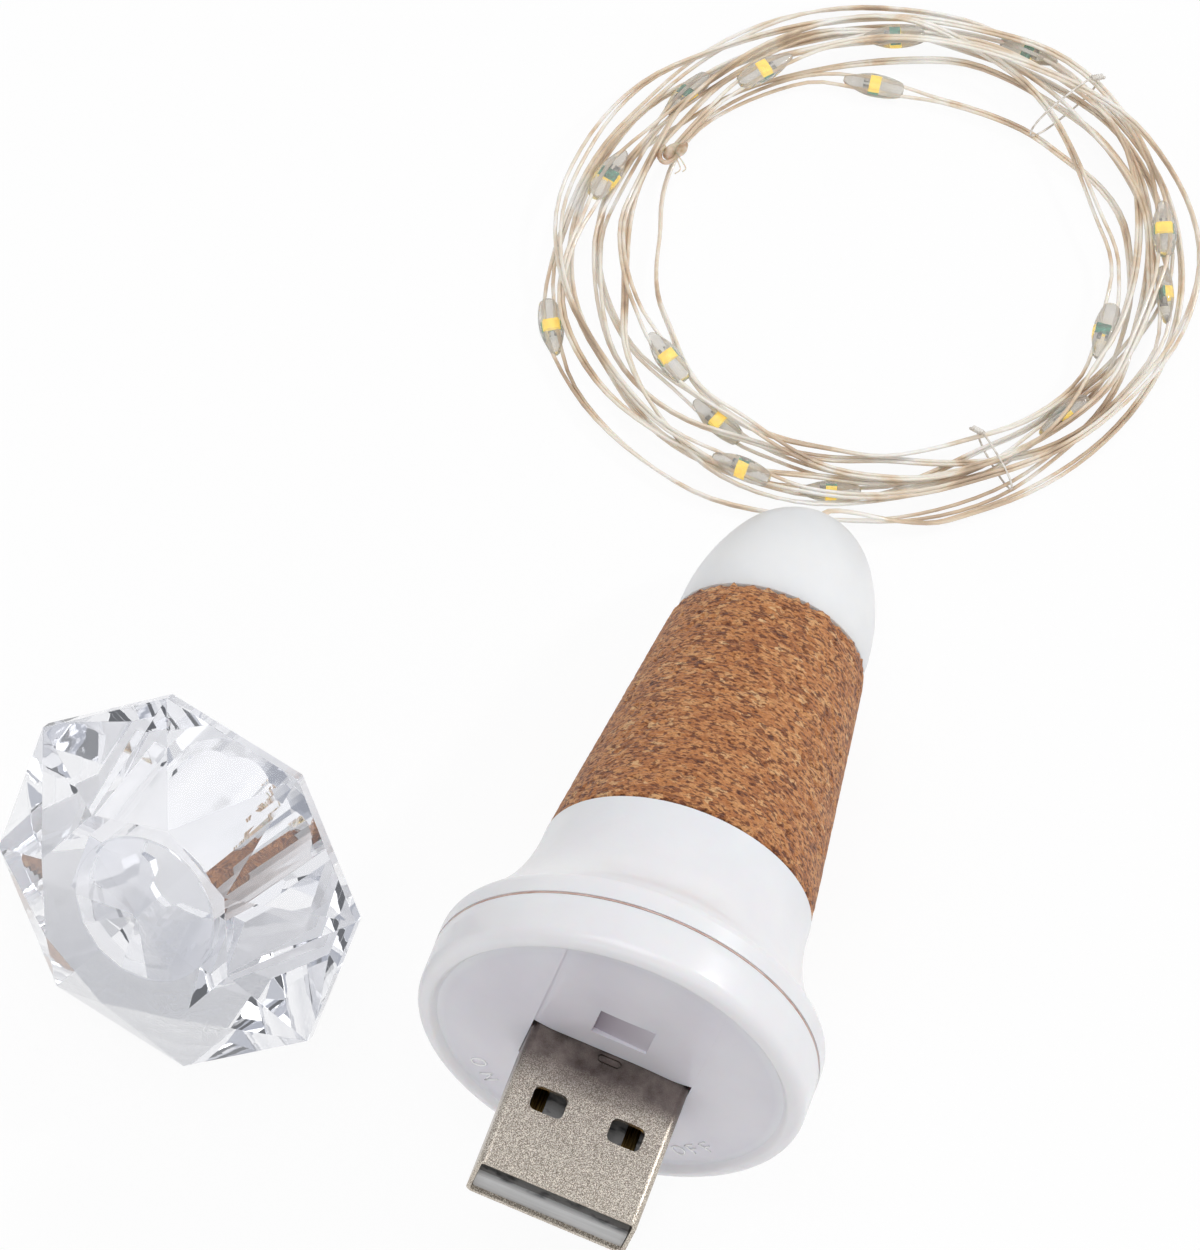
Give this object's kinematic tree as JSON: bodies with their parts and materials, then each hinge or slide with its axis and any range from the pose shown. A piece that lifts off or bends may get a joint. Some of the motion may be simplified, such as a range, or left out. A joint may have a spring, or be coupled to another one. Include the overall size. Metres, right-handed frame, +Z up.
{
  "type": "cork bottle light",
  "caption": "Cork-shaped rechargeable bottle light lying on a table: twist head with charging plug, cork sleeve, milky tip, coiled string of small lamps, clear faceted cap off beside it.",
  "frame": {"origin": "middle of the stopper's and the cap's footprint on the table they lie on; the free string is not counted", "axes": "+Z up, +X to the right of the pictured view, +Y away from its viewer; the stopper's tip points away along about +Y"},
  "size_m": [0.0884, 0.1059, 0.0295],
  "materials": {
    "board_green": "circuit board",
    "cell_metal": "wrapped cell",
    "chip_black": "moulded parts",
    "clear_acrylic": "clear, polished facets",
    "clear_resin": "clear drop",
    "contact_brass": "bright",
    "cork": "agglomerated cork, matt and grainy",
    "lamp_yellow": "phosphor on a small lamp",
    "milky_plastic": "translucent milky moulding",
    "nickel_plate": "nickel plated sheet, fine sparkle",
    "spring_steel": "bare wire and sheet",
    "string_wire": "fine enamelled wire",
    "tongue_plastic": "pale insulating block",
    "white_plastic": "smooth white moulding, satin to gloss"
  },
  "bodies": {
    "stopper": {"battery_cell": "cell_metal", "battery_leads": "string_wire", "battery_tabs": "spring_steel", "coil_tie_1": "spring_steel", "coil_tie_2": "spring_steel", "collar": "white_plastic", "contact_plate": "board_green", "cork_sleeve": "cork", "diffuser_tip": "milky_plastic", "exit_grommet": "milky_plastic", "inner_tube": "white_plastic", "inner_wires": "string_wire", "led_bead_01": "clear_resin", "led_bead_02": "clear_resin", "led_bead_03": "clear_resin", "led_bead_04": "clear_resin", "led_bead_05": "clear_resin", "led_bead_06": "clear_resin", "led_bead_07": "clear_resin", "led_bead_08": "clear_resin", "led_bead_09": "clear_resin", "led_bead_10": "clear_resin", "led_bead_11": "clear_resin", "led_bead_12": "clear_resin", "led_bead_13": "clear_resin", "led_bead_14": "clear_resin", "led_bead_15": "clear_resin", "led_chip_01": "lamp_yellow", "led_chip_02": "lamp_yellow", "led_chip_03": "lamp_yellow", "led_chip_04": "lamp_yellow", "led_chip_05": "lamp_yellow", "led_chip_06": "lamp_yellow", "led_chip_07": "lamp_yellow", "led_chip_08": "lamp_yellow", "led_chip_09": "lamp_yellow", "led_chip_10": "lamp_yellow", "led_chip_11": "lamp_yellow", "led_chip_12": "lamp_yellow", "led_chip_13": "lamp_yellow", "led_chip_14": "lamp_yellow", "led_chip_15": "lamp_yellow", "string_coil": "string_wire", "string_end": "clear_resin", "string_lead": "string_wire"},
    "head": {"head_disc": "white_plastic", "usb_shell": "nickel_plate", "usb_tongue": "tongue_plastic", "usb_contacts": "contact_brass", "circuit_board": "board_green", "charge_led": "lamp_yellow", "charge_chip": "chip_black", "board_parts": "chip_black", "bearing_plate": "white_plastic", "retaining_ring": "spring_steel", "switch_wiper": "contact_brass"},
    "cap": {"diamond_cap": "clear_acrylic"}
  },
  "joints": [
    {"name": "head_twist", "type": "hinge", "parent": "stopper", "child": "head", "pos_m": [0.01187, -0.01763, 0.0155], "axis": [-0.3109, -0.9291, 0.2004], "range_deg": [0, 105]},
    {"name": "cap_lift", "type": "slide", "parent": "stopper", "child": "cap", "axis": [0, 0, 1], "range_m": [0, 0.05]}
  ]
}
